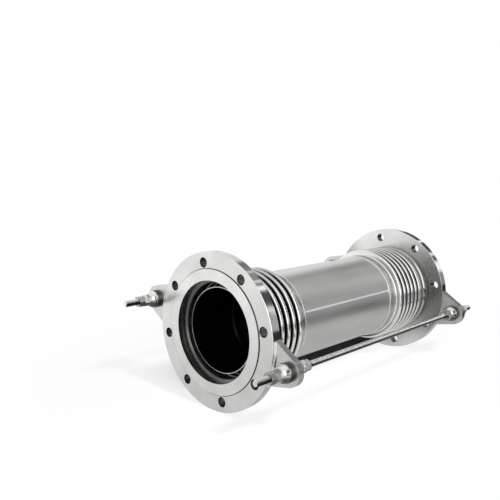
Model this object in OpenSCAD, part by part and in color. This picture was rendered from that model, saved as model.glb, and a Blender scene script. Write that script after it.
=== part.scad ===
// Tied lateral expansion joint for a DN 200, PN 10 pipeline, all stainless steel.
// Two flanges, two six-wave bellows, a centre pipe between them, a flow liner inside
// each bellows, and two tie rods that swing on spherical seats in lugs on the flange rims.
// It lies on its flange rims, with the pipe axis along X and the floor at z = 0.
// Flange a is at -X and flange b is its mirror image at +X.

/* [Flanges] */
// Length over the two sealing faces
face_to_face = 710; // [680:1:800]
// Outside diameter of a flange
flange_d = 340; // [330:1:350]
// Thickness of a flange with its raised face
flange_t = 24; // [20:1:28]
// How far a flange's bore stands back from the centre pipe's outside, giving 219 mm
bore_step = 4.5; // [3:0.25:6]
// Distance from the rim to the raised sealing face, giving a face of 268 mm
face_edge = 36; // [35:0.5:42]
// Height of the raised sealing face
face_h = 2; // [1:0.5:3]
// Distance from the rim to the middle of a bolt hole, giving a pitch circle of 295 mm
bolt_edge = 22.5; // [20:0.5:25]
// Diameter of a bolt hole
bolt_d = 22; // [18:0.5:23]
// Number of bolt holes
bolt_count = 8; // [8]
// Chamfer on a flange rim
rim_chamfer = 1; // [0.5:0.25:2]

/* [Bellows] */
// Height of a wave over the centre pipe's outside
wave_height = 15.75; // [13:0.25:18]
// Wall of a bellows
bellows_t = 1.2; // [0.8:0.1:1.4]
// Number of waves in a bellows
wave_count = 6; // [5:1:6]
// Distance from wave to wave
wave_pitch = 19.2; // [17:0.1:19.6]
// Straight end of a bellows at its flange
skirt_len = 18.4; // [16:0.2:20]
// Straight end of a bellows on the centre pipe
cuff_len = 20.4; // [16:0.2:24]
// Wall of the ring that holds a bellows to its flange
hub_wall = 10.3; // [8:0.1:12]
// Gap between the flange ring and the first wave
hub_gap = 0.4; // [0.2:0.1:1]
// Leg of the weld between the flange ring and the flange
hub_weld_leg = 4; // [3:0.5:6]
// Wall of the collar over a bellows end on the pipe
collar_wall = 2.3; // [1.5:0.1:4]
// Gap between the collar and the last wave
collar_gap = 1.4; // [1:0.1:2]

/* [Centre pipe and liners] */
// Outside diameter of the centre pipe
pipe_d = 210; // [208:0.5:211]
// Wall of the centre pipe
pipe_t = 3; // [2:0.25:4]
// Height of the weld bead at each end of the centre pipe
bead_h = 3.2; // [2.5:0.1:3.8]
// Width of the weld bead at each end of the centre pipe
bead_w = 6; // [4:0.5:8]
// How far a liner stands in from the centre pipe's bore
liner_step = 9; // [7:0.5:12]
// Wall of a liner
liner_t = 1.5; // [1:0.25:2]
// How far a liner's free end lies behind the sealing face
liner_inset = 25; // [22:1:40]
// Length of the liner's cone out to the pipe wall
liner_cone = 16; // [12:1:24]
// Length of the liner's seat in the pipe
liner_seat = 12; // [8:1:20]

/* [Lugs] */
// Distance from the flange rim to a tie rod's axis
tie_reach = 33; // [29:0.5:40]
// Turn of the lug line about the pipe axis
lug_roll = 12; // [0:0.5:20]
// Thickness of a lug
lug_t = 15; // [12:0.5:18]
// Radius of a lug's rounded tip
lug_tip_r = 30; // [27:0.5:33]
// Half of the angle that a lug covers on the rim
lug_half_angle = 16.5; // [15:0.5:18]
// Leg of the weld between a lug and the rim
lug_weld_leg = 5; // [3:0.5:6]
// Hole through a lug
lug_hole_d = 18; // [17.5:0.25:20]

/* [Tie rods] */
// Thread diameter of a tie rod
rod_d = 14; // [12:0.5:14.5]
// How far the plain shank lies under the thread's crests
shank_step = 0.65; // [0.5:0.05:2]
// How far a rod stands out past a sealing face
rod_overhang = 78; // [70:1:90]
// How far the thread reaches past the last nut
thread_run = 10; // [4:1:40]
// Width across the flats of a nut
nut_af = 22; // [21:0.5:23]
// Height of a nut
nut_h = 14; // [11:0.5:14]
// Height of the thin locknut on the inner side of a lug
thin_nut_h = 7; // [6:0.5:8]
// Outside diameter of the flat washer under a nut
washer_d = 28; // [27:0.5:28.5]
// Thickness of the flat washer
washer_t = 2.5; // [2:0.25:3]

/* [Spherical seats] */
// Outside diameter of a seat ring
seat_d = 40; // [37:0.5:42]
// Radius of the ball surface, about the middle of the lug
ball_r = 25; // [24.5:0.1:26]
// Outside diameter of a domed washer at its rim
dome_d = 38; // [36:0.5:39]
// Diameter of a domed washer where the nut sits
dome_top_d = 27; // [26:0.5:29]
// Distance from the lug face to the nut
dome_height = 23; // [22.5:0.25:25]
// Ball clearance at the flange a end
seat_gap_a = 0.3; // [0.2:0.05:0.5]
// Ball clearance at the flange b end
seat_gap_b = 0.7; // [0.6:0.05:0.9]

/* [Hidden] */
$fn = 128;

flange_r = flange_d / 2;
axis_h = flange_r;
pipe_r = pipe_d / 2;
bore_r = pipe_r + bore_step;
face_r = flange_r - face_edge;
bolt_r = flange_r - bolt_edge;
tie_r = flange_r + tie_reach;

// The bellows wall, drawn along the middle of the sheet
skirt_r = pipe_r + bellows_t;
arc_r = wave_pitch / 4;
arc_out = arc_r + bellows_t / 2;
arc_in = arc_r - bellows_t / 2;
root_c = pipe_r + bellows_t / 2 + arc_r;
crest_c = pipe_r + wave_height - arc_out;
hub_r = skirt_r + hub_wall;

// Distances from a sealing face, inwards along the axis
waves_start = flange_t + skirt_len;
waves_len = wave_count * wave_pitch;
waves_end = waves_start + waves_len;
bellows_end = waves_end + cuff_len;
collar_start = waves_end + collar_gap;
pipe_start = waves_end + collar_gap;

// The collar and the bellows end together, and the bead closes them onto the pipe
collar_r = skirt_r + collar_wall;
collar_chamfer = 0.8;
bead_bow = bead_w * 0.75;
hub_chamfer = 1;
weld_stop = 0.5;
liner_lip = 4;
locknut_turn = 17;

lug_mid = flange_t - lug_t / 2;
lug_front = flange_t - lug_t;
washer_seat = lug_t / 2 + dome_height;
nut_seat = washer_seat + washer_t;
stack_end = nut_seat + nut_h + thin_nut_h;
rod_len = face_to_face + 2 * rod_overhang;
thread_len = rod_overhang + lug_mid + stack_end + thread_run;
rod_r = rod_d / 2;
shank_r = rod_r - shank_step;
nut_chamfer = 1.2;
washer_chamfer = 0.4;
rod_chamfer = 1.4;

// A dome is part of a ball through its rim and its flat top
dome_rim_h = 2;
dome_rim_z = sqrt(ball_r * ball_r - dome_d * dome_d / 4) + dome_rim_h;
dome_c = (washer_seat * washer_seat + pow(dome_top_d / 2, 2) - dome_rim_z * dome_rim_z
    - pow(dome_d / 2, 2)) / (2 * (washer_seat - dome_rim_z));
dome_r = norm([dome_d / 2, dome_rim_z - dome_c]);

rim_inset = 6;
eps = 0.01;

steel = "silver";
polished = "gainsboro";
satin = "lightgray";
dull = "darkgray";
weld = "whitesmoke";

ENDS = ["a", "b"];
SIDES = ["left", "right"];
FACES = ["outer", "inner"];

NODES = [
    "flange_a", "flange_b",
    "hub_ring_a", "hub_ring_b",
    "hub_weld_a", "hub_weld_b",
    "bellows_a", "bellows_b",
    "collar_a", "collar_b",
    "centre_pipe",
    "pipe_weld_a", "pipe_weld_b",
    "liner_a", "liner_b",
    "lug_a_left", "lug_a_right", "lug_b_left", "lug_b_right",
    "lug_weld_a_left", "lug_weld_a_right", "lug_weld_b_left", "lug_weld_b_right",
    "tie_rod_left", "tie_rod_right",
    "seat_a_left_outer", "seat_a_left_inner", "seat_a_right_outer", "seat_a_right_inner",
    "seat_b_left_outer", "seat_b_left_inner", "seat_b_right_outer", "seat_b_right_inner",
    "dome_a_left_outer", "dome_a_left_inner", "dome_a_right_outer", "dome_a_right_inner",
    "dome_b_left_outer", "dome_b_left_inner", "dome_b_right_outer", "dome_b_right_inner",
    "washer_a_left_outer", "washer_a_left_inner", "washer_a_right_outer", "washer_a_right_inner",
    "washer_b_left_outer", "washer_b_left_inner", "washer_b_right_outer", "washer_b_right_inner",
    "nut_a_left_outer", "nut_a_left_inner", "nut_a_right_outer", "nut_a_right_inner",
    "nut_b_left_outer", "nut_b_left_inner", "nut_b_right_outer", "nut_b_right_inner",
    "locknut_a_left_outer", "locknut_a_left_inner", "locknut_a_right_outer", "locknut_a_right_inner",
    "locknut_b_left_outer", "locknut_b_left_inner", "locknut_b_right_outer", "locknut_b_right_inner"
];

node = "all";

// Places a child whose own z runs inwards from the sealing face of flange a or b
module at_end(end) {
    if (end == "a")
        translate([-face_to_face / 2, 0, axis_h]) rotate([0, 90, 0]) children();
    else
        mirror([1, 0, 0]) translate([-face_to_face / 2, 0, axis_h]) rotate([0, 90, 0]) children();
}

// Turn of a lug about the pipe axis in that frame
function lug_angle(side) = side == "left" ? 90 + lug_roll : -90 + lug_roll;

// Places a child at a lug, x outwards through it and z = 0 at the middle of its thickness
module at_lug(end, side) {
    at_end(end) rotate([0, 0, lug_angle(side)]) translate([0, 0, lug_mid]) children();
}

// Places a child on the tie rod's axis, z leading away from the lug on one of its faces
module at_seat(end, side, face) {
    at_lug(end, side) translate([tie_r, 0, 0]) rotate([face == "outer" ? 180 : 0, 0, 0]) children();
}

// Flat ring about z, with both outer edges broken
module ring(r_in, r_out, z0, z1, chamfer) {
    rotate_extrude() polygon([
        [r_in, z0], [r_out - chamfer, z0], [r_out, z0 + chamfer],
        [r_out, z1 - chamfer], [r_out - chamfer, z1], [r_in, z1]
    ]);
}

module flange(end) {
    color(satin) at_end(end) difference() {
        union() {
            ring(bore_r, flange_r, face_h, flange_t, rim_chamfer);
            rotate_extrude() translate([bore_r, 0]) square([face_r - bore_r, face_h + eps]);
        }
        for (i = [0 : bolt_count - 1])
            rotate([0, 0, lug_angle("left") + (i + 0.5) * 360 / bolt_count])
                translate([bolt_r, 0, -1]) cylinder(h = flange_t + 2, d = bolt_d);
    }
}

module hub_ring(end) {
    color(polished) at_end(end)
        ring(skirt_r, hub_r, flange_t, waves_start - hub_gap, hub_chamfer);
}

// Fillet weld in the corner between the flange and its ring
module hub_weld(end) {
    color(weld) at_end(end) rotate_extrude() translate([hub_r, flange_t])
        polygon([[0, 0], [hub_weld_leg, 0], [0, hub_weld_leg]]);
}

// Half ring of bellows wall about a point in the r, z plane, open towards the axis or away
module wall_bend(r, z, outward, z_from, z_to) {
    translate([r, z]) intersection() {
        difference() {
            circle(r = arc_out);
            circle(r = arc_in);
        }
        translate([outward ? 0 : -arc_out - 1, z_from]) square([arc_out + 1, z_to - z_from]);
    }
}

// Wall in the r, z plane: U-shaped waves joined by their roots, half a root at each end
module bellows_wall() {
    reach = arc_out + 1;
    for (i = [0 : wave_count]) {
        wall_bend(root_c, waves_start + i * wave_pitch, false,
            i == 0 ? 0 : -reach, i == wave_count ? 0 : reach);
    }
    for (i = [0 : wave_count - 1]) {
        z0 = waves_start + i * wave_pitch;
        wall_bend(crest_c, z0 + wave_pitch / 2, true, -reach, reach);
        for (flank = [1, 3])
            translate([root_c, z0 + flank * arc_r - bellows_t / 2]) square([crest_c - root_c, bellows_t]);
    }
}

module bellows(end) {
    color(steel) at_end(end) rotate_extrude() {
        translate([pipe_r, flange_t]) square([bellows_t, skirt_len]);
        bellows_wall();
        translate([pipe_r, waves_end]) square([bellows_t, cuff_len]);
    }
}

module collar(end) {
    color(polished) at_end(end)
        ring(skirt_r, collar_r, collar_start, bellows_end, collar_chamfer);
}

// Girth weld that closes the collar and the bellows end onto the pipe
module pipe_weld(end) {
    color(weld) at_end(end) rotate_extrude() translate([pipe_r, bellows_end]) intersection() {
        square([bead_h, bead_w]);
        translate([bead_h - bead_bow, bead_w / 2]) circle(r = bead_bow);
    }
}

module centre_pipe() {
    length = face_to_face - 2 * pipe_start;
    color(satin) translate([-length / 2, 0, axis_h]) rotate([0, 90, 0])
        rotate_extrude() translate([pipe_r - pipe_t, 0]) square([pipe_t, length]);
}

// Thin sleeve inside the bellows, coned out to the pipe wall at one end and free at the other
module liner(end) {
    seat_r = pipe_r - pipe_t;
    free_r = seat_r - liner_step;
    seat_z = pipe_start + liner_lip;
    color(dull) at_end(end) rotate_extrude() polygon([
        [free_r - liner_t, liner_inset],
        [free_r, liner_inset],
        [free_r, seat_z - liner_cone],
        [seat_r, seat_z],
        [seat_r, seat_z + liner_seat],
        [seat_r - liner_t, seat_z + liner_seat],
        [seat_r - liner_t, seat_z],
        [free_r - liner_t, seat_z - liner_cone]
    ]);
}

// Where the straight side of a lug leaves the rim, and where it touches the rounded tip
rim_point = flange_r * [cos(lug_half_angle), sin(lug_half_angle)];
to_tip = [tie_r, 0] - rim_point;
side_turn = atan2(to_tip[1], to_tip[0]) + asin(lug_tip_r / norm(to_tip));
side_len = sqrt(pow(norm(to_tip), 2) - lug_tip_r * lug_tip_r);
tip_point = rim_point + side_len * [cos(side_turn), sin(side_turn)];

module lug_outline() {
    difference() {
        union() {
            translate([tie_r, 0]) circle(r = lug_tip_r);
            polygon([
                [rim_point[0] - rim_inset, -rim_point[1]], [rim_point[0], -rim_point[1]],
                [tip_point[0], -tip_point[1]], tip_point, rim_point,
                [rim_point[0] - rim_inset, rim_point[1]]
            ]);
        }
        circle(r = flange_r, $fn = 360);
    }
}

module lug(end, side) {
    color(satin) at_lug(end, side) difference() {
        translate([0, 0, -lug_t / 2]) linear_extrude(lug_t) lug_outline();
        translate([tie_r, 0, -lug_t]) cylinder(h = 2 * lug_t, d = lug_hole_d);
    }
}

// Fillet weld along the front of a lug's root
module lug_weld(end, side) {
    reach = lug_half_angle - weld_stop;
    color(weld) at_end(end) rotate([0, 0, lug_angle(side) - reach])
        rotate_extrude(angle = 2 * reach) translate([flange_r, lug_front])
            polygon([[0, -lug_weld_leg], [lug_weld_leg, 0], [0, 0]]);
}

// Ring on the lug with a ball surface whose centre is the middle of the lug
module seat(end, side, face) {
    color(polished) at_seat(end, side, face) rotate_extrude() intersection() {
        translate([lug_hole_d / 2, lug_t / 2]) square([(seat_d - lug_hole_d) / 2, ball_r]);
        circle(r = ball_r);
    }
}

// Domed washer, hollowed to ride on the ball surface, flat where the nut sits
module dome(end, side, face) {
    gap = end == "a" ? seat_gap_a : seat_gap_b;
    color(polished) at_seat(end, side, face) rotate_extrude() difference() {
        intersection() {
            translate([rod_r, 0]) square([dome_d / 2 - rod_r, washer_seat]);
            translate([0, dome_c]) circle(r = dome_r);
        }
        circle(r = ball_r + gap);
    }
}

// Flat washer that spreads the nut's load over the domed one
module washer(end, side, face) {
    color(polished) at_seat(end, side, face)
        ring(rod_r, washer_d / 2, washer_seat, nut_seat, washer_chamfer);
}

// Hexagon nut with both faces chamfered, on the thread from z = 0
module hex_nut(height) {
    across = nut_af / cos(30);
    difference() {
        intersection() {
            cylinder(h = height, d = across, $fn = 6);
            ring(0, across / 2, 0, height, nut_chamfer);
        }
        translate([0, 0, -1]) cylinder(h = height + 2, r = rod_r);
    }
}

module nut(end, side, face) {
    color(dull) at_seat(end, side, face) translate([0, 0, nut_seat]) hex_nut(nut_h);
}

// Second nut against the first, a full one outside and a thin one towards the shank
module locknut(end, side, face) {
    color(dull) at_seat(end, side, face) translate([0, 0, nut_seat + nut_h])
        rotate([0, 0, locknut_turn]) hex_nut(face == "outer" ? nut_h : thin_nut_h);
}

// Rod with a rolled thread at each end and a thinner plain shank between
module tie_rod(side) {
    color(steel) at_lug("a", side) translate([tie_r, 0, -lug_mid - rod_overhang]) rotate_extrude() polygon([
        [0, 0], [rod_r - rod_chamfer, 0], [rod_r, rod_chamfer],
        [rod_r, thread_len], [shank_r, thread_len + shank_step],
        [shank_r, rod_len - thread_len - shank_step], [rod_r, rod_len - thread_len],
        [rod_r, rod_len - rod_chamfer], [rod_r - rod_chamfer, rod_len], [0, rod_len]
    ]);
}

function wanted(name) = node == "all" || node == name;

for (end = ENDS) {
    if (wanted(str("flange_", end))) flange(end);
    if (wanted(str("hub_ring_", end))) hub_ring(end);
    if (wanted(str("hub_weld_", end))) hub_weld(end);
    if (wanted(str("bellows_", end))) bellows(end);
    if (wanted(str("collar_", end))) collar(end);
    if (wanted(str("pipe_weld_", end))) pipe_weld(end);
    if (wanted(str("liner_", end))) liner(end);
    for (side = SIDES) {
        if (wanted(str("lug_", end, "_", side))) lug(end, side);
        if (wanted(str("lug_weld_", end, "_", side))) lug_weld(end, side);
        for (face = FACES) {
            if (wanted(str("seat_", end, "_", side, "_", face))) seat(end, side, face);
            if (wanted(str("dome_", end, "_", side, "_", face))) dome(end, side, face);
            if (wanted(str("washer_", end, "_", side, "_", face))) washer(end, side, face);
            if (wanted(str("nut_", end, "_", side, "_", face))) nut(end, side, face);
            if (wanted(str("locknut_", end, "_", side, "_", face))) locknut(end, side, face);
        }
    }
}
for (side = SIDES) {
    if (wanted(str("tie_rod_", side))) tie_rod(side);
}
if (wanted("centre_pipe")) centre_pipe();
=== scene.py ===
"""Dresses a tied lateral expansion joint in turned, drawn and welded stainless steel.

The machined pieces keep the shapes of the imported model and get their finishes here. What
bends, ripples or is threaded is modelled here: the convoluted bellows, the weld beads, the
centre pipe's long seam and the tie rods with their rolled threads.

Lengths are in metres, the pipe axis runs along X, and the floor is at z = 0.
"""

import logging
import math
from dataclasses import dataclass
from enum import Enum
from typing import Any, Callable, Iterable

import bpy
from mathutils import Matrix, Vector


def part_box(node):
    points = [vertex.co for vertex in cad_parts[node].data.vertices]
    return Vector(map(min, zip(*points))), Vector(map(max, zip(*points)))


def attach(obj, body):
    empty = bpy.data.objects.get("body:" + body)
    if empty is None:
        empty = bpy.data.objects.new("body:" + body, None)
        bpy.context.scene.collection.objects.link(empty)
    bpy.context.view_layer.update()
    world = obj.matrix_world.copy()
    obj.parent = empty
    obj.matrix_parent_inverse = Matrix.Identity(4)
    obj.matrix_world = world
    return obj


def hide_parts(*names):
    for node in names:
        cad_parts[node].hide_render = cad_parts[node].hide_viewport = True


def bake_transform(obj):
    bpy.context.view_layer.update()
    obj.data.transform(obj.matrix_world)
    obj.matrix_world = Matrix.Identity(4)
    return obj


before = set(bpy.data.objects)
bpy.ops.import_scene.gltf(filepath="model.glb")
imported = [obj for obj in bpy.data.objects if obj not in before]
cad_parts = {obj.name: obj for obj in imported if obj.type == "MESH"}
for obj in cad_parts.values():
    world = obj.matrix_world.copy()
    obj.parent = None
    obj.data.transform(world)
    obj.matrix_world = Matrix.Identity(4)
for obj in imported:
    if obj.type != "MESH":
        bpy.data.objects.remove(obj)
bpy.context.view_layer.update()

LOG = logging.getLogger("expansion_joint")
MM = 0.001
FULL_TURN = 2 * math.pi

FLANGE_BODY = {"a": "near_flange", "b": "far_flange"}
PIPE_BODY = "centre_pipe"
ENDS = ("a", "b")
SIDES = ("left", "right")
FACES = ("outer", "inner")

WAVES = 6
WAVE_PITCH = 19.2 * MM
BELLOWS_SKIRT = 18.4 * MM
AXIS_HEIGHT = sum(corner.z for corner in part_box("centre_pipe")) / 2
PIPE_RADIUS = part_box("centre_pipe")[1].z - AXIS_HEIGHT
LAST_CREST = abs(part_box("bellows_a")[0].x) - BELLOWS_SKIRT - (WAVES - 0.5) * WAVE_PITCH

Colour = tuple[float, float, float, float]
Span = tuple[float, float]
Triple = tuple[float, float, float]
# Points as (x, radius) from one end to the other
Outline = list[tuple[float, float]]
Stops = list[tuple[float, Colour]]
Piece = bpy.types.Object
Tree = bpy.types.NodeTree
Socket = bpy.types.NodeSocket


def linear(colour: str) -> Colour:
    """Turns an sRGB hex colour into the linear colour that a shader takes.

    Args:
        colour: Six hex digits, such as "c8c8c6".

    Returns:
        Red, green, blue and alpha, each from 0 to 1.
    """
    parts = [int(colour[i:i + 2], 16) / 255 for i in (0, 2, 4)]
    red, green, blue = (p / 12.92 if p <= 0.04045 else ((p + 0.055) / 1.055) ** 2.4 for p in parts)
    return red, green, blue, 1.0


def grey(level: float) -> Colour:
    """Gives the linear colour of a plain share of light, from 0 to 1."""
    return level, level, level, 1.0


def add_node(tree: Tree, kind: str, inputs: dict[Any, Any] | None = None,
             **settings: Any) -> bpy.types.Node:
    """Adds one shader node with its settings, values and links.

    Args:
        tree: The node tree that the node goes into.
        kind: The node's type without the "ShaderNode" before it, such as "Math".
        inputs: Values or output sockets, by the name or number of the input that they go to.
        settings: The node's own properties.

    Returns:
        The new node.
    """
    node = tree.nodes.new(f"ShaderNode{kind}")
    for name, value in settings.items():
        setattr(node, name, value)
    for socket, value in (inputs or {}).items():
        if isinstance(value, Socket):
            tree.links.new(value, node.inputs[socket])
        else:
            node.inputs[socket].default_value = value
    return node


def maths(tree: Tree, operation: str, *values: Any) -> Socket:
    """Adds one step of arithmetic, such as "MULTIPLY", on numbers or sockets."""
    return add_node(tree, "Math", dict(enumerate(values)), operation=operation).outputs[0]


def vector_maths(tree: Tree, operation: str, *values: Any) -> Socket:
    """Adds one step of vector arithmetic; a length or a dot product comes out as a number."""
    node = add_node(tree, "VectorMath", dict(enumerate(values)), operation=operation)
    return node.outputs["Value" if operation in ("LENGTH", "DOT_PRODUCT") else "Vector"]


def part(tree: Tree, vector: Socket, axis: str) -> Socket:
    """Adds a node that takes one coordinate, "X", "Y" or "Z", out of a vector."""
    return add_node(tree, "SeparateXYZ", {0: vector}).outputs[axis]


def stretched(tree: Tree, vector: Socket, scale: Triple, shift: Triple = (0, 0, 0)) -> Socket:
    """Adds a node that scales a vector and then shifts it."""
    inputs = {"Vector": vector, "Location": shift, "Scale": scale}
    return add_node(tree, "Mapping", inputs).outputs[0]


def rise(tree: Tree, value: Socket, span: Span, low: float = 0.0, high: float = 1.0,
         smooth: bool = True) -> Socket:
    """Adds a level that goes from low to high while a value crosses a span, up or down."""
    inputs = {"Value": value, "From Min": span[0], "From Max": span[1], "To Min": low, "To Max": high}
    return add_node(tree, "MapRange", inputs,
                    interpolation_type="SMOOTHSTEP" if smooth else "LINEAR").outputs["Result"]


def mix(tree: Tree, factor: Any, first: Any, second: Any, mode: str = "MIX") -> Socket:
    """Adds a mix of two colours, or another mode of laying the second one over the first."""
    inputs = {0: factor, 6: first, 7: second}
    return add_node(tree, "Mix", inputs, data_type="RGBA", blend_type=mode).outputs[2]


def noise(tree: Tree, vector: Socket, size: float) -> Socket:
    """Adds a noise whose clouds have a size in mm."""
    inputs = {"Vector": vector, "Scale": 1 / (size * MM), "Detail": 3.0}
    return add_node(tree, "TexNoise", inputs).outputs["Fac"]


def ramp(tree: Tree, source: Socket, stops: Stops, hard: bool = False) -> Socket:
    """Adds a colour ramp, which carries its stops in a list rather than in sockets.

    Args:
        tree: The node tree.
        source: The number that picks the colour.
        stops: Positions from 0 to 1, each with a linear colour.
        hard: Whether each colour holds until the next stop.

    Returns:
        The ramp's colour.
    """
    node = add_node(tree, "ValToRGB", {"Fac": source})
    node.color_ramp.interpolation = "CONSTANT" if hard else "LINEAR"
    elements = node.color_ramp.elements
    while len(elements) < len(stops):
        elements.new(1.0)
    for element, (position, colour) in zip(elements, stops):
        element.position = position
        element.color = colour
    return node.outputs["Color"]


@dataclass(frozen=True)
class Surface:
    """What a material's nodes read from the surface.

    Attributes:
        tree: The material's node tree.
        place: The object coordinates.
        facing: The surface's normal in the same coordinates.
    """

    tree: Tree
    place: Socket
    facing: Socket

    def spoke(self) -> Socket:
        """Adds the vector from the pipe axis straight out to the surface."""
        return stretched(self.tree, self.place, (0, 1, 1), (0, 0, -AXIS_HEIGHT))

    def radius(self) -> Socket:
        """Adds the distance from the pipe axis, in metres."""
        return vector_maths(self.tree, "LENGTH", self.spoke())

    def out(self) -> Socket:
        """Adds the direction straight away from the pipe axis."""
        return vector_maths(self.tree, "NORMALIZE", self.spoke())

    def outward(self) -> Socket:
        """Adds how squarely the surface faces away from the pipe axis, from -1 to 1."""
        return vector_maths(self.tree, "DOT_PRODUCT", self.out(), self.facing)

    def upward(self) -> Socket:
        """Adds how squarely the surface faces up, from -1 to 1."""
        return part(self.tree, self.facing, "Z")

    def endward(self) -> Socket:
        """Adds how squarely the surface faces either end of the pipe, from 0 to 1."""
        return maths(self.tree, "ABSOLUTE", part(self.tree, self.facing, "X"))


class Grain(Enum):
    """Which way the marks of a surface run."""

    FACE_RINGS = "rings about the pipe axis, left by facing on a lathe"
    HOOPS = "lines around the pipe's direction, left by turning or rolling"
    LENGTHWISE = "lines along the pipe's direction, left by drawing"
    SPECKLED = "no direction, as on a weld or a forged nut"


# How the noise is stretched that draws every grain but the rings
GRAIN_STRETCH = {Grain.HOOPS: (1, 0.04, 0.04), Grain.LENGTHWISE: (0.02, 1, 1),
                 Grain.SPECKLED: (1, 1, 1)}
# Between these two numbers lies nearly all of a noise, and of two noises added up
NOISE_SPAN = (0.35, 0.65)
DOUBLE_NOISE_SPAN = (0.7, 1.3)
# Clouds on a drawn surface are this much longer than wide
DRAWN_CLOUDS = (0.3, 1, 1)
# What the normal's endward part is over on an end face, and under on a wall along the pipe
END_FACE = 0.95
WALL = 0.6
# The normal's outward parts between which a wall no longer faces the pipe axis
FACING_AXIS = (-0.3, -0.1)


@dataclass(frozen=True)
class SteelFinish:
    """One finish of bare stainless steel.

    Attributes:
        name: What the finish is, as a maker calls it.
        colour: The metal's own reflecting colour, as sRGB hex.
        roughness: Mean roughness.
        roughness_spread: How far the marks and stains move the roughness either way.
        grain: Which way the marks run.
        mark: Width of a mark in mm. Real ones are finer; this is as fine as shows in a picture.
        mark_depth: Depth of the marks in mm.
        stain: Size in mm of the soft clouds that handling leaves.
        stain_depth: How far the clouds darken the colour, from 0 to 1.
        inside: Share of the colour left on walls that face the pipe axis, a painted shade inside bores and
            pipes.
        underside: Share of the colour left on what faces the floor, a painted shade. End faces
            keep theirs.
        under_span: Upward parts of the normal between which that share rises to 1.
    """

    name: str
    colour: str
    roughness: float
    roughness_spread: float
    grain: Grain
    mark: float
    mark_depth: float
    stain: float
    stain_depth: float
    inside: float = 1.0
    underside: float = 1.0
    under_span: Span = (-0.35, 0.3)

    def build(self) -> bpy.types.Material:
        """Makes the material, or returns the one made before.

        Returns:
            The finish's material.
        """
        made = bpy.data.materials.get(self.name)
        if made is not None:
            return made
        material = bpy.data.materials.new(self.name)
        material.use_nodes = True
        tree = material.node_tree
        tree.nodes.clear()
        source = add_node(tree, "TexCoord").outputs
        surface = Surface(tree, source["Object"], source["Normal"])
        marks = self.marks(surface)
        spread = DRAWN_CLOUDS if self.grain is Grain.LENGTHWISE else (1, 1, 1)
        cloud = noise(tree, stretched(tree, surface.place, spread), self.stain)
        shade = rise(tree, cloud, NOISE_SPAN, 1 - self.stain_depth, smooth=False)
        for tone in self.tones(surface):
            shade = maths(tree, "MULTIPLY", shade, tone)
        colour = add_node(tree, "VectorMath",
                          {0: linear(self.colour)[:3], "Scale": shade}, operation="SCALE")
        both = maths(tree, "ADD", marks, cloud)
        rough = rise(tree, both, DOUBLE_NOISE_SPAN, self.roughness - self.roughness_spread,
                     self.roughness + self.roughness_spread, smooth=False)
        bump = add_node(tree, "Bump", {"Height": marks, "Distance": self.mark_depth * MM})
        shader = add_node(tree, "BsdfPrincipled",
                          {"Base Color": colour.outputs[0], "Metallic": 1.0,
                           "Roughness": self.gloss(surface, rough), "Normal": bump.outputs["Normal"]})
        add_node(tree, "OutputMaterial", {"Surface": shader.outputs["BSDF"]})
        return material

    def marks(self, surface: Surface) -> Socket:
        """Adds the noise that draws the marks.

        Args:
            surface: What the nodes read.

        Returns:
            A number about 0.5 that rises and falls across the marks.
        """
        tree = surface.tree
        if self.grain is not Grain.FACE_RINGS:
            return noise(tree, stretched(tree, surface.place, GRAIN_STRETCH[self.grain]), self.mark)
        inputs = {"W": surface.radius(), "Scale": 1 / (self.mark * MM), "Detail": 2.0}
        return add_node(tree, "TexNoise", inputs, noise_dimensions="1D").outputs["Fac"]

    def tones(self, surface: Surface) -> list[Socket]:
        """Adds what darkens one zone of the surface more than another.

        Args:
            surface: What the nodes read.

        Returns:
            Shares of the colour, which are multiplied.
        """
        tree, shares = surface.tree, []
        # Painted shade on walls that face the pipe axis
        if self.inside < 1.0:
            shares.append(rise(tree, surface.outward(), FACING_AXIS, self.inside))
        # Painted shade on what faces the floor; end faces keep their colour
        if self.underside < 1.0:
            end_face = maths(tree, "GREATER_THAN", surface.endward(), END_FACE)
            raised = maths(tree, "ADD", surface.upward(), end_face)
            shares.append(rise(tree, raised, self.under_span, self.underside))
        return shares

    def gloss(self, surface: Surface, rough: Socket) -> Socket:
        """Lets a finish change its roughness from zone to zone; this one keeps it."""
        return rough


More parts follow.
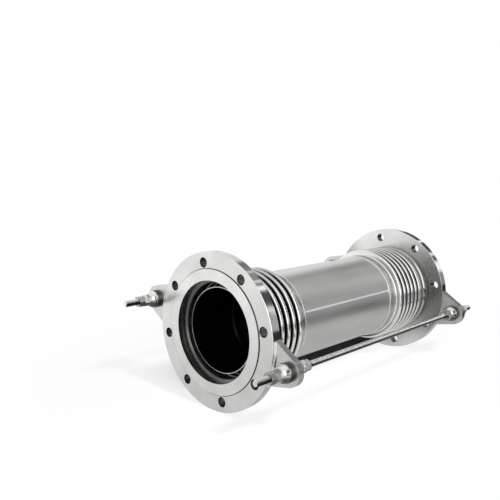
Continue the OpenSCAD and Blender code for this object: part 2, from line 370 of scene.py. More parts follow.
@dataclass(frozen=True)
class DrilledPlate(SteelFinish):
    """A flange's finish: faced front and back, turned rim, rough drilled holes.

    The joint's middle is at x = 0, so a face that looks away from it is a sealing face.

    Attributes:
        edge: The plate's own radius.
        walls: Radii where the bore, the holes and the rim start, each with the share of the colour
            left on its walls: painted shade in the bore and the holes, and a painted darkening of the
            rim for the dim room that it mirrors. The rim mirrors more than it scatters.
        sealing: Radii where the raised face, a thin dark ring at its edge and the face around it
            start, each with its share of the colour.
        rim_roughness: Roughness of the turned rim.
        fan_tone: Share of the colour left in the two dark fans at the sides of the inner faces, a
            painted reflection of the sheen that turned rings show.
        fan_span: Sideways parts of the spoke between which a fan darkens.
    """

    edge: float = 170 * MM
    walls: tuple[Span, ...] = ((0, 0.35), (120 * MM, 0.16), (164 * MM, 0.55))
    sealing: tuple[Span, ...] = ((0, 1.0), (133 * MM, 0.25), (135 * MM, 0.93))
    rim_roughness: float = 0.11
    fan_tone: float = 0.42
    fan_span: Span = (0.98, 0.55)

    def wall(self, surface: Surface) -> Socket:
        """Adds 1 on walls that run along the axis and 0 on the flat faces."""
        return maths(surface.tree, "LESS_THAN", surface.endward(), WALL)

    def tones(self, surface: Surface) -> list[Socket]:
        """Adds the painted shade of the walls, the painted reflection of the inner face and the tones of
        the sealing face.

        Args:
            surface: What the nodes read.

        Returns:
            Shares of the colour, which are multiplied.
        """
        tree = surface.tree
        share = maths(tree, "DIVIDE", surface.radius(), self.edge)
        # The walls' ramp paints shade into the bore and the holes and darkens the rim as a painted
        # reflection
        walls, sealing = (
            ramp(tree, share, [(radius / self.edge, grey(tone)) for radius, tone in zones], hard=True)
            for zones in (self.walls, self.sealing))
        sideways = maths(tree, "ABSOLUTE", part(tree, surface.out(), "Y"))
        # Painted reflection: two dark fans at the sides of the inner face
        inner = rise(tree, sideways, self.fan_span, self.fan_tone)
        away = part(tree, vector_maths(tree, "MULTIPLY", surface.place, surface.facing), "X")
        faces = mix(tree, maths(tree, "GREATER_THAN", away, 0.0), inner, sealing)
        return [mix(tree, self.wall(surface), faces, walls)]

    def gloss(self, surface: Surface, rough: Socket) -> Socket:
        """Makes the turned rim smoother than the rest.

        Args:
            surface: What the nodes read.
            rough: The roughness of the faces.

        Returns:
            The roughness of each zone.
        """
        tree = surface.tree
        on_rim = maths(tree, "GREATER_THAN", surface.radius(), self.walls[-1][0])
        turned = maths(tree, "MULTIPLY", self.wall(surface), on_rim)
        return add_node(tree, "Mix", {0: turned, 2: rough, 3: self.rim_roughness},
                        data_type="FLOAT").outputs[0]


@dataclass(frozen=True)
class ConvolutedSheet(SteelFinish):
    """A bellows' finish, bright on the crests, with painted shade down in the valleys, on the flanks and on
    the top.

    Attributes:
        depths: Radii up to which a valley's painted shade lasts, and from which the sheet is bright.
        valley_tone: Share of the colour left in a valley, a painted shade.
        flank_span: Outward parts of the normal between which a flank turns into a crest.
        flank_tone: Share of the colour left on the flanks of a wave, a painted shade that keeps the crests'
            highlights thin.
        top_span: Upward parts of the normal between which the top turns into the side.
        top_tone: Share of the colour left on what faces straight up, a painted shade.
    """

    depths: Span = (108 * MM, 118 * MM)
    valley_tone: float = 0.07
    flank_span: Span = (0.3, 0.9)
    flank_tone: float = 0.28
    top_span: Span = (0.95, 0.55)
    top_tone: float = 0.5

    def tones(self, surface: Surface) -> list[Socket]:
        """Adds the painted shade of the valleys, of the top and of the flanks.

        The painted shade stops at the last crest, so the flank next to the pipe keeps its colour.

        Args:
            surface: What the nodes read.

        Returns:
            Shares of the colour, which are multiplied.
        """
        tree = surface.tree
        # Painted shade: darker in the valleys, on the flanks and on the top, but not past the last crest
        deep = rise(tree, surface.radius(), self.depths, self.valley_tone)
        for share in (rise(tree, surface.outward(), self.flank_span, self.flank_tone),
                      rise(tree, surface.upward(), self.top_span, self.top_tone)):
            deep = maths(tree, "MULTIPLY", deep, share)
        from_middle = maths(tree, "ABSOLUTE", part(tree, surface.place, "X"))
        return [maths(tree, "MAXIMUM", deep, maths(tree, "LESS_THAN", from_middle, LAST_CREST))]


@dataclass(frozen=True)
class CutPlate(SteelFinish):
    """A lug's finish, brushed on its two faces and left as cut all round.

    Attributes:
        edge_span: Endward parts of the normal between which a cut edge turns into a face.
        edge_tone: Share of the colour left on the cut edges.
    """

    edge_span: Span = (0.3, 0.6)
    edge_tone: float = 0.5

    def tones(self, surface: Surface) -> list[Socket]:
        """Adds the tone of the cut edges, which run along the pipe's direction."""
        return [rise(surface.tree, surface.endward(), self.edge_span, self.edge_tone)]


# Faced on a lathe and lightly brushed: near white where it mirrors the pale floor
FACED_PLATE = DrilledPlate(
    "faced_and_drilled_flange", "ececea", 0.28, 0.05, Grain.FACE_RINGS, 1.6, 0.015, 70, 0.14)
# Turned bright: sharp black and white stripes across the ring, with painted shade on its walls that face
# the pipe axis
TURNED_RING = SteelFinish(
    "bright_turned_ring", "b0b0ae", 0.08, 0.03, Grain.HOOPS, 1.2, 0.006, 20, 0.10, inside=0.15)
# Cold formed from bright sheet; painted shade off the crests leaves thin highlights along them
FORMED_SHEET = ConvolutedSheet(
    "cold_formed_sheet", "f0f0ee", 0.18, 0.03, Grain.HOOPS, 1.5, 0.006, 30, 0.08)
# The sheet's inner side: the same sheet painted a darker grey, a painted shade inside the bore
ROLLED_INSIDE = SteelFinish(
    "rolled_sheet_inside", "a8a8a6", 0.30, 0.05, Grain.HOOPS, 2.0, 0.01, 40, 0.20)
# Drawn and pickled tube: soft lengthwise gradients with faint clouds, and painted shade in its bore
DRAWN_TUBE = SteelFinish(
    "drawn_pickled_tube", "c8c8c6", 0.38, 0.03, Grain.LENGTHWISE, 1.5, 0.004, 45, 0.10, inside=0.1)
# The collar is turned from the same tube and only cleaned; painted shade darkens its walls that face the
# pipe axis
CLEANED_COLLAR = SteelFinish(
    "cleaned_collar", "b4b4b2", 0.28, 0.04, Grain.HOOPS, 1.5, 0.006, 30, 0.12, inside=0.15)
# Rolled sheet that sees no polish: dull, and painted dark inside the bore as shade
ROLLED_LINER = SteelFinish(
    "rolled_liner_sheet", "dcdcda", 0.30, 0.05, Grain.LENGTHWISE, 2.0, 0.01, 50, 0.20, inside=0.05)
# Weld metal, cleaned but not ground: bright, uneven and slightly pitted
WELD_METAL = SteelFinish(
    "cleaned_weld_metal", "e4e4e2", 0.28, 0.06, Grain.SPECKLED, 2.5, 0.02, 8, 0.12)
# Weld metal rolled flat and brushed: a clean bright line
PLANISHED_SEAM = SteelFinish(
    "planished_seam", "ffffff", 0.30, 0.02, Grain.LENGTHWISE, 1.5, 0.003, 30, 0.02)
# Cut plate, brushed by hand
CUT_PLATE = CutPlate(
    "cut_lug_plate", "dadad8", 0.30, 0.05, Grain.SPECKLED, 2.0, 0.015, 25, 0.14)
# Turned bright where it only has to look clean, with painted shade on its underside
TURNED_DOME = SteelFinish(
    "turned_dome", "e4e4e2", 0.12, 0.03, Grain.HOOPS, 1.0, 0.006, 15, 0.10, underside=0.12)
# Ball seats painted dark, a painted shade for the gap between dome and lug, with more painted shade on
# their undersides
GREASED_SEAT = SteelFinish(
    "greased_ball_seat", "5a5a58", 0.22, 0.04, Grain.HOOPS, 1.0, 0.006, 15, 0.20, underside=0.3)
# Cold drawn rod, its threads rolled, with its underside painted near black as shade
DRAWN_ROD = SteelFinish(
    "cold_drawn_rod", "e8e8e6", 0.24, 0.02, Grain.LENGTHWISE, 1.0, 0.001, 40, 0.06, underside=0.03,
    under_span=(0.05, 0.5))
# Machined nuts, with the marks of the bar they were cut from, and painted shade on their undersides
MACHINED_NUT = SteelFinish(
    "machined_nut", "b4b4b2", 0.18, 0.05, Grain.SPECKLED, 1.5, 0.008, 12, 0.20, underside=0.25)


def radius_of(node: str) -> float:
    """Gives the radius of a round CAD node from its box."""
    low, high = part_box(node)
    return (high.z - low.z) / 2


def reach_of(node: str, end: str) -> Span:
    """Gives where a CAD node starts and ends in x, counted from the flange at its end."""
    low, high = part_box(node)
    return (low.x, high.x) if end == "a" else (high.x, low.x)


def select_only(piece: Piece) -> None:
    """Selects one piece and nothing else, because an operator acts on all that is selected.

    Args:
        piece: The piece to work on.
    """
    bpy.ops.object.select_all(action="DESELECT")
    piece.select_set(True)
    bpy.context.view_layer.objects.active = piece


def settle(piece: Piece) -> None:
    """Puts a piece's place into its mesh, so that its object sits at the origin."""
    select_only(piece)
    bpy.ops.object.transform_apply(location=True, rotation=True, scale=True)


def apply_modifiers(piece: Piece) -> None:
    """Applies a piece's modifiers in their order."""
    select_only(piece)
    for name in [m.name for m in piece.modifiers]:
        bpy.ops.object.modifier_apply(modifier=name)


def close_mesh(piece: Piece) -> None:
    """Points an edited mesh's normals outwards, leaves edit mode and settles the piece.

    Args:
        piece: The piece that is being edited.
    """
    bpy.ops.mesh.select_all(action="SELECT")
    bpy.ops.mesh.normals_make_consistent(inside=False)
    bpy.ops.object.mode_set(mode="OBJECT")
    settle(piece)


def smooth(piece: Piece, degrees: float = 35) -> None:
    """Shades a piece smooth where its faces meet at less than an angle."""
    select_only(piece)
    bpy.ops.object.shade_smooth_by_angle(angle=math.radians(degrees))


@dataclass(frozen=True)
class Lathe:
    """Turns an outline about an axis that runs along X.

    Attributes:
        y: Where the axis stands across the floor.
        z: How high the axis lies.
        steps: Segments of a full turn.
    """

    y: float
    z: float
    steps: int = 192

    def chain(self, name: str, line: Outline, angle: float = 0.0) -> Piece:
        """Draws an outline as a chain of edges and leaves it open in edit mode.

        Args:
            name: The piece's name.
            line: The outline.
            angle: Turn about the axis, from +Y towards +Z.

        Returns:
            The piece, in edit mode with its last vertex selected.
        """
        out = Vector((0, math.cos(angle), math.sin(angle)))
        points = [Vector((x, self.y, self.z)) + radius * out for x, radius in line]
        bpy.ops.mesh.primitive_plane_add(size=MM, location=points[0])
        piece = bpy.context.object
        piece.name = piece.data.name = name
        bpy.ops.object.mode_set(mode="EDIT")
        bpy.ops.mesh.merge(type="CENTER")
        for start, end in zip(points, points[1:]):
            bpy.ops.mesh.extrude_vertices_move(TRANSFORM_OT_translate={"value": end - start})
        return piece

    def turn(self, name: str, line: Outline, closed: bool = False, start: float = 0.0,
             sweep: float = FULL_TURN) -> Piece:
        """Turns an outline into a shell.

        Args:
            name: The piece's name.
            line: The outline.
            closed: Whether the outline's last point joins its first.
            start: Where a part turn starts, from +Y towards +Z.
            sweep: How far it turns.

        Returns:
            The finished shell, its place in its mesh.
        """
        piece = self.chain(name, line + line[:1] if closed else line, start)
        bpy.ops.mesh.select_all(action="SELECT")
        steps = max(2, round(self.steps * sweep / FULL_TURN))
        bpy.ops.mesh.spin(steps=steps, angle=sweep, center=(0, self.y, self.z), axis=(-1, 0, 0))
        bpy.ops.mesh.select_all(action="SELECT")
        bpy.ops.mesh.remove_doubles(threshold=1e-6)
        if closed and sweep < FULL_TURN:
            bpy.ops.mesh.fill_holes(sides=0)
        close_mesh(piece)
        return piece

    def reshape(self, piece: Piece, new_radius: Callable[[float, float, float], float]) -> None:
        """Moves every vertex of a turned piece nearer to the axis or further out.

        Args:
            piece: The piece, with its place in its mesh.
            new_radius: Gives a vertex's radius from its x, its old radius and its angle.
        """
        for vertex in piece.data.vertices:
            x, y, z = vertex.co.x, vertex.co.y - self.y, vertex.co.z - self.z
            radius = math.hypot(y, z)
            wanted = new_radius(x, radius, math.atan2(z, y))
            if wanted != radius:
                scale = wanted / radius
                vertex.co = x, self.y + y * scale, self.z + z * scale
        piece.data.update()


PIPE_LATHE = Lathe(0.0, AXIS_HEIGHT)
# Finer ones, so that the ripples of a bead show
RING_LATHE = Lathe(0.0, AXIS_HEIGHT, 720)
BEAD_LATHE = Lathe(0.0, AXIS_HEIGHT, 900)


def hand_over(piece: Piece, finish: SteelFinish, slot: str, *nodes: str) -> None:
    """Gives a finished piece its material and hides the CAD nodes that it stands for.

    Args:
        piece: The finished piece.
        finish: Its finish, for a piece that has none yet.
        slot: The record's material slot; not used.
        nodes: CAD nodes that it replaces.
    """
    if not piece.data.materials:
        piece.data.materials.append(finish.build())
    if nodes:
        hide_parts(*nodes)
    LOG.info("%s: %d faces, stands for %s", piece.name, len(piece.data.polygons),
             ", ".join(nodes) or "no node")


@dataclass(frozen=True)
class Bellows:
    """A convoluted sheet between a flange and the centre pipe.

    Attributes:
        end: "a" or "b".
        sheet: Thickness of the wall.
        bend_steps: Segments in a half-turn bend.
    """

    end: str
    sheet: float = 1.2 * MM
    bend_steps: int = 12

    def line(self) -> Outline:
        """Works out the middle line of the wall from the node's own box.

        Returns:
            The line from the flange to the end on the pipe.
        """
        node = f"bellows_{self.end}"
        x_flange, x_end = reach_of(node, self.end)
        inward = math.copysign(1, x_end - x_flange)
        bend = WAVE_PITCH / 4
        base = PIPE_RADIUS + self.sheet / 2
        root_middle = base + bend
        crest_middle = radius_of(node) - self.sheet / 2 - bend
        first_root = x_flange + inward * BELLOWS_SKIRT
        points = [(x_flange, base)]

        def arc(x: float, r: float, start: float, end: float, count: int) -> None:
            for i in range(count + 1):
                turn = math.radians(start + (end - start) * i / count)
                points.append((x + inward * bend * math.sin(turn), r + bend * math.cos(turn)))

        half = self.bend_steps // 2
        arc(first_root, root_middle, 180, 90, half)
        for wave in range(WAVES):
            x = first_root + inward * wave * WAVE_PITCH
            arc(x + inward * WAVE_PITCH / 2, crest_middle, -90, 90, self.bend_steps)
            last = wave == WAVES - 1
            arc(x + inward * WAVE_PITCH, root_middle, 270, 180 if last else 90,
                half if last else self.bend_steps)
        return points + [(x_end, base)]

    def make(self) -> None:
        """Builds the bellows."""
        node = f"bellows_{self.end}"
        piece = PIPE_LATHE.turn(f"{node}_sheet", self.line())
        wall = piece.modifiers.new("wall", "SOLIDIFY")
        wall.thickness = self.sheet
        wall.offset = 0
        wall.material_offset = 1
        wall.material_offset_rim = 1
        piece.data.materials.append(FORMED_SHEET.build())
        piece.data.materials.append(ROLLED_INSIDE.build())
        apply_modifiers(piece)
        smooth(piece)
        hand_over(piece, FORMED_SHEET, "bellows_sheet", node)
        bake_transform(piece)


@dataclass(frozen=True)
class WeldBeads:
    """The beads at one end of the joint: girth, ring and lugs.

    Attributes:
        end: "a" or "b".
        ripple: Distance from one solidified ripple to the next.
        ripple_depth: How deep the ripples are.
        wander: How far a bead's height wanders along it.
        swings: Swings of that height round the pipe, each with its phase.
        bulge: How far a fillet's back stands out, as a share of its leg.
        foot: Height up to which a bead is left even, where it touches what carries it.
        full: Height from which its ripples are full.
        dressed: Share of the ripples that dressing leaves on the ring fillet.
        rounds: Segments across the girth bead's back.
        crown_span: Where that back starts and ends, as shares of a half circle.
        lug_reach: Half the angle that a lug's fillet covers.
        crease: Angle in degrees up to which a bead is shaded smooth.
    """

    end: str
    ripple: float = 3.2 * MM
    ripple_depth: float = 0.25 * MM
    wander: float = 0.35 * MM
    swings: tuple[Span, ...] = ((9, 1.3), (23, 0.0), (41, 0.7))
    bulge: float = 0.62
    foot: float = 0.3 * MM
    full: float = 1.5 * MM
    dressed: float = 0.2
    rounds: int = 8
    crown_span: Span = (0.12, 0.88)
    lug_reach: float = math.radians(16)
    crease: float = 60

    def uneven(self, piece: Piece, seat: float, share: float = 1.0) -> None:
        """Ripples a bead that runs round the pipe axis, and shades it.

        Args:
            piece: The bead.
            seat: Radius below which the bead touches what carries it, and stays as it is.
            share: How much of the ripples dressing has left.
        """
        count = round(FULL_TURN * seat / self.ripple)

        def rippled(_: float, radius: float, angle: float) -> float:
            if radius < seat + self.foot:
                return radius
            step = 1 - abs(math.sin(count * angle / 2))
            drift = sum(math.sin(times * angle + phase) for times, phase in self.swings) / len(self.swings)
            height = min(1.0, (radius - seat) / self.full)
            return radius + (drift * self.wander - step * self.ripple_depth) * height * share

        PIPE_LATHE.reshape(piece, rippled)
        smooth(piece, self.crease)

    def fillet(self, corner: float, toe: float, base: float) -> Outline:
        """Draws a fillet with a full back.

        Args:
            corner: Where it stands against the wall, in x.
            toe: Where it runs out.
            base: Radius that it sits on.

        Returns:
            The closed outline.
        """
        leg = abs(toe - corner)
        back = self.bulge * leg
        return [(corner, base), (corner, base + leg - self.wander),
                (corner + math.copysign(back, toe - corner), base + back - self.wander), (toe, base)]

    def make_girth(self) -> None:
        """Builds the round-backed bead that closes the collar onto the centre pipe."""
        node = f"pipe_weld_{self.end}"
        low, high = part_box(node)
        crown = radius_of(node) - PIPE_RADIUS - self.wander
        first, last = self.crown_span
        line = [(low.x, PIPE_RADIUS)]
        for share in [i / self.rounds for i in range(self.rounds + 1)]:
            height = crown * math.sin(math.pi * (first + (last - first) * share))
            line.append((low.x + (high.x - low.x) * share, PIPE_RADIUS + height))
        line.append((high.x, PIPE_RADIUS))
        piece = BEAD_LATHE.turn(f"{node}_bead", line, closed=True)
        self.uneven(piece, PIPE_RADIUS)
        hand_over(piece, WELD_METAL, "weld_bead", node)
        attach(piece, PIPE_BODY)

    def make_ring_fillet(self) -> None:
        """Builds the fillet in the corner of the flange and its ring."""
        node = f"hub_weld_{self.end}"
        base = radius_of(f"hub_ring_{self.end}")
        corner, toe = reach_of(node, self.end)
        piece = RING_LATHE.turn(f"{node}_bead", self.fillet(corner, toe, base), closed=True)
        self.uneven(piece, base, share=self.dressed)
        hand_over(piece, TURNED_RING, "weld_bead", node)
        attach(piece, FLANGE_BODY[self.end])

    def make_lug_fillet(self, side: str) -> None:
        """Builds the fillet along the front of one lug's root.

        Args:
            side: "left" or "right".
        """
        node = f"lug_weld_{self.end}_{side}"
        low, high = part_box(node)
        rim = radius_of(f"flange_{self.end}")
        middle = (low + high) / 2
        facing = math.atan2(middle.z - AXIS_HEIGHT, middle.y)
        toe, corner = reach_of(node, self.end)
        line = self.fillet(corner, toe, rim)
        piece = BEAD_LATHE.turn(f"{node}_bead", line, closed=True, start=facing - self.lug_reach,
                                sweep=2 * self.lug_reach)
        self.uneven(piece, rim)
        hand_over(piece, WELD_METAL, "weld_bead", node)
        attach(piece, FLANGE_BODY[self.end])

    def make(self) -> None:
        """Builds every bead at this end."""
        self.make_girth()
        self.make_ring_fillet()
        for side in SIDES:
            self.make_lug_fillet(side)


@dataclass(frozen=True)
class PipeSeam:
    """The long seam of the centre pipe, planished almost flush.

    Attributes:
        angle: Where it runs, from +Y towards +Z.
        width: How wide it is.
        height: How far it stands over the pipe.
        sunk: How far its underside lies in the pipe's wall.
        end_gap: How far it stops short of the girth beads.
        rounds: Segments across its low round back.
    """

    angle: float = math.radians(164.4)
    width: float = 5.5 * MM
    height: float = 0.25 * MM
    sunk: float = 0.1 * MM
    end_gap: float = 0.5 * MM
    rounds: int = 6

    def make(self) -> None:
        """Builds the seam as a low round strip on the pipe."""
        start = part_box("pipe_weld_a")[1].x + self.end_gap
        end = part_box("pipe_weld_b")[0].x - self.end_gap
        sweep = self.width / PIPE_RADIUS
        under = PIPE_RADIUS - self.sunk
        line = [(start, under), (start, PIPE_RADIUS), (end, PIPE_RADIUS), (end, under)]
        lathe = Lathe(0.0, AXIS_HEIGHT, round(self.rounds * FULL_TURN / sweep))
        piece = lathe.turn("centre_pipe_seam", line, closed=True, start=self.angle - sweep / 2, sweep=sweep)

        def arched(_: float, radius: float, angle: float) -> float:
            if radius < PIPE_RADIUS - self.sunk / 2:
                return radius
            across = (angle - self.angle) / (sweep / 2)
            return radius + self.height * (1 - across * across)

        lathe.reshape(piece, arched)
        smooth(piece)
        hand_over(piece, PLANISHED_SEAM, "weld_bead")
        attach(piece, PIPE_BODY)


@dataclass(frozen=True)
class TieRod:
    """A drawn rod with a rolled thread at each end.

    Attributes:
        side: "left" or "right".
        pitch: Pitch of the thread.
        depth: Depth of the thread.
        thread: Length of the thread from the rod's end.
        shank_step: How far the plain shank lies under the thread's crests.
        point: Length of the chamfer at the rod's end.
        run_out: Length over which the thread's root rises to the shank.
        rings: Lengths that the shank is divided into.
        thread_steps: Segments round the thread.
        shank_steps: Segments round the shank.
        crease: Angle in degrees up to which the rod is shaded smooth.
    """

    side: str
    pitch: float = 2.0 * MM
    depth: float = 1.1 * MM
    thread: float = 158.5 * MM
    shank_step: float = 0.65 * MM
    point: float = 1.4 * MM
    run_out: float = MM
    rings: int = 12
    thread_steps: int = 32
    shank_steps: int = 64
    crease: float = 20

    def make_thread(self, lathe: Lathe, start: float, crest: float, tip: float) -> Piece:
        """Winds one thread as a helix and cuts its ends square.

        Args:
            lathe: The rod's axis.
            start: Where the thread starts in x.
            crest: Radius of its crests.
            tip: Where the rod's free end is in x.

        Returns:
            The threaded length as a closed solid.
        """
        root = crest - self.depth
        flat = self.pitch / 8
        turns = math.ceil(self.thread / self.pitch) + 2
        begin = start - self.pitch
        line = [(begin, root), (begin + 3 * flat, crest), (begin + 4 * flat, crest),
                (begin + 7 * flat, root), (begin + self.pitch, root)]
        piece = lathe.chain(f"thread_{self.side}", line)
        bpy.ops.object.mode_set(mode="OBJECT")
        settle(piece)
        bpy.context.scene.cursor.location = (0, lathe.y, lathe.z)
        bpy.ops.object.origin_set(type="ORIGIN_CURSOR")
        helix = piece.modifiers.new("helix", "SCREW")
        helix.axis = "X"
        helix.steps = helix.render_steps = lathe.steps
        helix.screw_offset = self.pitch
        helix.iterations = turns
        helix.use_merge_vertices = True
        apply_modifiers(piece)
        bpy.ops.object.mode_set(mode="EDIT")
        bpy.ops.mesh.select_all(action="SELECT")
        bpy.ops.mesh.remove_doubles(threshold=1e-6)
        for x, inner in ((start, True), (start + self.thread, False)):
            bpy.ops.mesh.select_all(action="SELECT")
            bpy.ops.mesh.bisect(plane_co=(x, 0, 0), plane_no=(1, 0, 0), use_fill=True,
                                clear_inner=inner, clear_outer=not inner, threshold=1e-7)
        close_mesh(piece)

        def pointed(x: float, radius: float, _: float) -> float:
            return min(radius, crest - max(0.0, self.point - abs(x - tip)))

        lathe.reshape(piece, pointed)
        return piece

    def make(self) -> None:
        """Builds the rod from its shank and its two threads."""
        node = f"tie_rod_{self.side}"
        low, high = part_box(node)
        middle = (low + high) / 2
        crest = radius_of(node)
        lathe = Lathe(middle.y, middle.z, self.thread_steps)
        near = self.make_thread(lathe, low.x, crest, low.x)
        far = self.make_thread(lathe, high.x - self.thread, crest, high.x)
        shank = crest - self.shank_step
        root, out = crest - self.depth, self.run_out
        start, end = low.x + self.thread, high.x - self.thread
        first, length = start + 2 * out, end - start - 4 * out
        plain = [(first + length * i / self.rings, shank) for i in range(self.rings + 1)]
        line = [(start - out, 0.0), (start - out, root), (start, root), (start + out, shank), *plain,
                (end - out, shank), (end, root), (end + out, root), (end + out, 0.0)]
        rod = Lathe(middle.y, middle.z, self.shank_steps).turn(f"{node}_threaded", line)
        select_only(rod)
        near.select_set(True)
        far.select_set(True)
        bpy.ops.object.join()
        smooth(rod, self.crease)
        hand_over(rod, DRAWN_ROD, "rod_steel", node)
        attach(rod, node)


@dataclass(frozen=True)
class MachinedPieces:
    """The CAD nodes whose shapes are right and which only need their finishes."""

    def make(self) -> None:
        """Puts the finishes into the nodes' material slots."""
        stack = {"seat": GREASED_SEAT, "dome": TURNED_DOME, "washer": TURNED_DOME,
                 "nut": MACHINED_NUT, "locknut": MACHINED_NUT}
        finishes = {"centre_pipe": DRAWN_TUBE}
        for end in ENDS:
            finishes |= {f"flange_{end}": FACED_PLATE, f"hub_ring_{end}": TURNED_RING,
                         f"collar_{end}": CLEANED_COLLAR, f"liner_{end}": ROLLED_LINER}
            for side in SIDES:
                finishes[f"lug_{end}_{side}"] = CUT_PLATE
                finishes |= {f"{kind}_{end}_{side}_{face}": finish
                             for face in FACES for kind, finish in stack.items()}
        for name, finish in finishes.items():
            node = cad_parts[name]
            node.data.materials.clear()
            node.data.materials.append(finish.build())
        LOG.info("%d machined nodes dressed", len(finishes))


@dataclass(frozen=True)
class Studio:
    """The pale floor, the soft lights and the camera.

    Attributes:
        camera_place: Where the camera stands.
        yaw: The way it looks, from +X towards +Y.
        pitch: How far it looks down.
        lens: Focal length on a sensor 36 mm wide.
        floor_size: Side of the floor.
        shade_edges: Where the floor's shaded patch ends and where it is full, at its two ends in
            x and its two sides in y.
        paper_colour: Colour of the paper.
        core_colour: Colour painted on the paper in the patch, a painted shadow.
        glow_around: Share of the floor's white that is its own just around the joint.
        glow_span: Distances from the joint between which that share rises to 1.
        paper_edge: Where the white paper starts and has ended, to the right of the joint.
        past_paper: Light of what lies past it.
        near_levels: Light of the paper next to the joint, which takes some away, and far from it.
        near_span: Distances from the joint between which the one turns into the other.
        near_squeeze: How much less a distance along the pipe counts than one across it.
        wall_levels: Light low on the walls by bearing, in degrees from +X towards +Y.
        upper_levels: Light higher up on them.
        upper_start: Sines of the heights between which the one turns into the other.
        ceiling: Light of the ceiling.
        ceiling_start: Sines of the heights between which the walls turn into the ceiling.
        strips: Bearings between which each strip light stands.
        strip_level: Light of a strip.
        strip_heights: Sines of the heights where a strip begins, is full, begins to end and ends.
        floor_share: How much of the room's light reaches the floor.
        key_place: Where the shadow's lamp hangs.
        key_size: Its width and height.
        key_power: Its power in watts.
    """

    camera_place: Triple = (-1.1915, -0.9192, 0.5022)
    yaw: float = 0.76825
    pitch: float = 0.12705
    lens: float = 43.84
    floor_size: float = 40.0
    shade_edges: tuple[Span, ...] = ((-0.36, -0.08), (0.50, 0.35), (0.026, 0.048), (0.38, 0.14))
    paper_colour: str = "f0f0f0"
    core_colour: str = "686868"
    glow_around: float = 0.88
    glow_span: Span = (0.45, 0.9)
    paper_edge: Span = (0.50, 0.80)
    past_paper: float = 0.05
    near_levels: Span = (0.68, 1.05)
    near_span: Span = (0.15, 0.9)
    near_squeeze: float = 0.4
    wall_levels: tuple[Span, ...] = (
        (-180, 0.9), (-150, 0.9), (-142, 2.2), (-108, 2.2), (-100, 0.4), (-70, 0.8), (-34, 0.8),
        (-24, 0.35), (22, 0.35), (30, 0.9), (60, 1.0), (170, 1.0))
    upper_levels: tuple[Span, ...] = (
        (-180, 0.5), (-150, 0.5), (-142, 2.2), (-108, 2.2), (-100, 0.2), (-60, 0.12), (23, 0.12),
        (30, 1.3), (60, 1.3), (100, 1.0), (170, 0.6))
    upper_start: Span = (0.17, 0.30)
    ceiling: float = 1.0
    ceiling_start: Span = (0.58, 0.85)
    strips: tuple[Span, ...] = ((-41, -38), (-26, -21), (-15, -12), (3.5, 6.5))
    strip_level: float = 2.0
    strip_heights: tuple[float, float, float, float] = (0.16, 0.2, 0.66, 0.74)
    floor_share: float = 0.08
    key_place: Triple = (-0.6, -2.4, 2.6)
    key_size: Span = (0.5, 0.5)
    key_power: float = 170.0

    def make_camera(self) -> None:
        """Sets up the camera at the photograph's viewing angle."""
        data = bpy.data.cameras.new("camera")
        data.lens = self.lens
        data.sensor_width = 36.0
        data.clip_start = 0.05
        camera = bpy.data.objects.new("camera", data)
        bpy.context.scene.collection.objects.link(camera)
        look = Vector((math.cos(self.pitch) * math.cos(self.yaw),
                       math.cos(self.pitch) * math.sin(self.yaw), -math.sin(self.pitch)))
        camera.location = self.camera_place
        camera.rotation_euler = look.to_track_quat("-Z", "Y").to_euler()
        bpy.context.scene.camera = camera

    def shaded_patch(self, tree: Tree, place: Socket) -> Socket:
        """Adds the patch of floor that lies in the joint's shadow.

        Args:
            tree: The floor material's node tree.
            place: The floor's object coordinates.

        Returns:
            1 in the patch, falling softly to 0 around it.
        """
        patch = 1.0
        for axis, edge in zip("XXYY", self.shade_edges):
            patch = maths(tree, "MULTIPLY", patch, rise(tree, part(tree, place, axis), edge))
        return patch

    def glow_share(self, tree: Tree, place: Socket, patch: Socket) -> Socket:
        """Adds how much of the floor's white is its own: all far away, none in the patch."""
        around = rise(tree, vector_maths(tree, "LENGTH", place), self.glow_span, self.glow_around)
        return maths(tree, "MULTIPLY", around, maths(tree, "SUBTRACT", 1.0, patch))

    def mirrored_level(self, tree: Tree, place: Socket) -> Socket:
        """Adds the floor's light as the steel mirrors it.

        Args:
            tree: The floor material's node tree.
            place: The floor's object coordinates.

        Returns:
            White on the paper, less next to the joint, and little past the paper's right edge.
        """
        right = vector_maths(tree, "DOT_PRODUCT", place, (math.sin(self.yaw), -math.cos(self.yaw), 0))
        paper = rise(tree, right, self.paper_edge, 1.0, self.past_paper, smooth=False)
        away = vector_maths(tree, "LENGTH", stretched(tree, place, (self.near_squeeze, 1, 0)))
        near = rise(tree, away, self.near_span, *self.near_levels, smooth=False)
        return maths(tree, "MULTIPLY", paper, near)

    def make_floor(self) -> None:
        """Lays the white floor, which keeps the object's shadow.

        Under the joint the paper is painted dark, a painted shadow where so little light gets there.
        """
        bpy.ops.mesh.primitive_plane_add(size=self.floor_size, location=(0, 0, 0))
        floor = bpy.context.object
        floor.name = "floor"
        material = bpy.data.materials.new("white_paper_floor")
        material.use_nodes = True
        tree = material.node_tree
        tree.nodes.clear()
        place = add_node(tree, "TexCoord").outputs["Object"]
        path = add_node(tree, "LightPath").outputs
        seen = path["Is Camera Ray"]
        mirrored = maths(tree, "MAXIMUM", path["Is Glossy Ray"], path["Is Transmission Ray"])
        dimmed = maths(tree, "MULTIPLY", mirrored, self.mirrored_level(tree, place))
        strength = maths(tree, "MAXIMUM", seen, dimmed)
        direct = maths(tree, "LESS_THAN", path["Diffuse Depth"], 0.5)
        own = maths(tree, "MULTIPLY", maths(tree, "MAXIMUM", seen, mirrored), direct)
        patch = self.shaded_patch(tree, place)
        # Painted shadow: the paper's colour darkens in the patch under the joint
        core = mix(tree, patch, linear(self.paper_colour), linear(self.core_colour))
        paint = add_node(tree, "BsdfDiffuse", {"Color": core})
        glow = add_node(tree, "Emission", {"Color": linear("ffffff"), "Strength": strength})
        factor = maths(tree, "MULTIPLY", own, self.glow_share(tree, place, patch))
        both = add_node(tree, "MixShader", {0: factor, 1: paint.outputs[0], 2: glow.outputs[0]})
        add_node(tree, "OutputMaterial", {"Surface": both.outputs[0]})
        floor.data.materials.append(material)

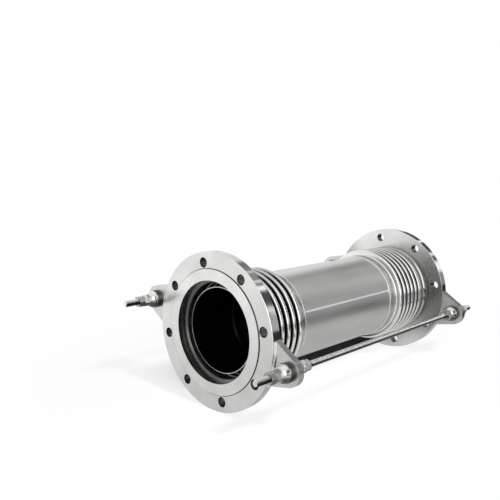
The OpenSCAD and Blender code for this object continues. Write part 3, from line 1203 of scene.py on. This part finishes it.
    def make_world(self) -> None:
        """Surrounds the joint with a white backdrop, a dim room and its strip lights."""
        world = bpy.data.worlds.new("studio")
        bpy.context.scene.world = world
        world.use_nodes = True
        tree = world.node_tree
        tree.nodes.clear()
        path = add_node(tree, "LightPath").outputs
        direction = add_node(tree, "TexCoord").outputs["Generated"]
        bearing = maths(tree, "ARCTAN2", part(tree, direction, "Y"), part(tree, direction, "X"))
        turn = rise(tree, bearing, (-math.pi, math.pi), smooth=False)
        height = maths(tree, "MAXIMUM", part(tree, direction, "Z"), 0.0)
        walls = mix(tree, rise(tree, height, self.upper_start, smooth=False),
                    ramp(tree, turn, self.bearing_stops(self.wall_levels)),
                    ramp(tree, turn, self.bearing_stops(self.upper_levels)))
        room = mix(tree, rise(tree, height, self.ceiling_start), walls, grey(self.ceiling))
        band = ramp(tree, height, [(0.0, grey(0)), *zip(self.strip_heights, map(grey, (0, 1, 1, 0)))])
        edges = [(-180, 0.0)] + [edge for first, last in self.strips
                                 for edge in ((first, self.strip_level), (last, 0.0))]
        strips = ramp(tree, turn, self.bearing_stops(edges), hard=True)
        lamps = mix(tree, 1.0, strips, band, "MULTIPLY")
        strength = rise(tree, path["Diffuse Depth"], (0.0, 1.0), 1.0, self.floor_share, smooth=False)
        plain = add_node(tree, "Background",
                         {"Color": mix(tree, 1.0, room, lamps, "ADD"), "Strength": strength})
        white = add_node(tree, "Background", {"Color": linear("ffffff"), "Strength": 1.0})
        both = add_node(tree, "MixShader",
                        {0: path["Is Camera Ray"], 1: plain.outputs[0], 2: white.outputs[0]})
        add_node(tree, "OutputWorld", {"Surface": both.outputs[0]})

    def bearing_stops(self, levels: Iterable[Span]) -> Stops:
        """Turns levels by bearing, from -180 degrees on, into the stops of a ramp."""
        return [((bearing + 180) / 360, grey(level)) for bearing, level in levels]

    def make_key_lamp(self) -> None:
        """Hangs the lamp that lays the joint's shadow on the floor behind it.

        It is left out of reflections, so the steel mirrors only the room.
        """
        data = bpy.data.lights.new("key_lamp", "AREA")
        data.shape = "RECTANGLE"
        data.size, data.size_y = self.key_size
        data.energy = self.key_power
        lamp = bpy.data.objects.new("key_lamp", data)
        bpy.context.scene.collection.objects.link(lamp)
        lamp.location = self.key_place
        lamp.rotation_euler = (-Vector(self.key_place)).to_track_quat("-Z", "Y").to_euler()
        lamp.visible_glossy = False

    def make(self) -> None:
        """Sets up the whole studio."""
        self.make_camera()
        self.make_floor()
        self.make_world()
        self.make_key_lamp()
        bpy.context.scene.view_settings.view_transform = "Standard"


def main() -> None:
    """Builds the joint's pieces in order, then the studio around it."""
    logging.basicConfig(level=logging.INFO, format="%(name)s: %(message)s")
    MachinedPieces().make()
    for end in ENDS:
        Bellows(end).make()
        WeldBeads(end).make()
    PipeSeam().make()
    for side in SIDES:
        TieRod(side).make()
    Studio().make()


if __name__ == "__main__":
    main()
